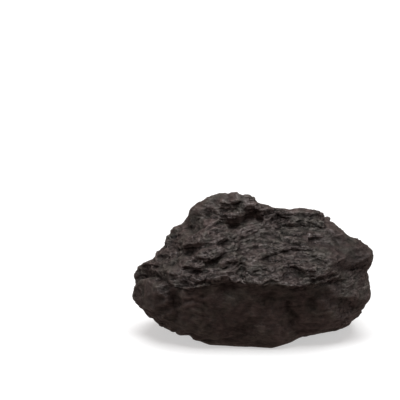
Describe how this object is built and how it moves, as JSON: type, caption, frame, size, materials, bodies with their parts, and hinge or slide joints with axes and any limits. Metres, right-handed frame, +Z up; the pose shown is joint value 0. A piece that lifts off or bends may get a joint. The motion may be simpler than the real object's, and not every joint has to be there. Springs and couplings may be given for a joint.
{
  "type": "coal lump",
  "caption": "Hand-sized rough lump of dark bedded coal with a ledged upper face, a smoother undercut front and a flat resting face.",
  "frame": {"origin": "on the table, on the flat foot under the middle of the lump", "axes": "+X along the lump's length, to the right seen from the front; +Y to its back; +Z up"},
  "size_m": [0.1102, 0.0759, 0.0678],
  "materials": {
    "coal": "matt to satin dark brown-black coal, broken along thin beds"
  },
  "bodies": {
    "root": {"coal_lump": "coal"}
  },
  "joints": []
}
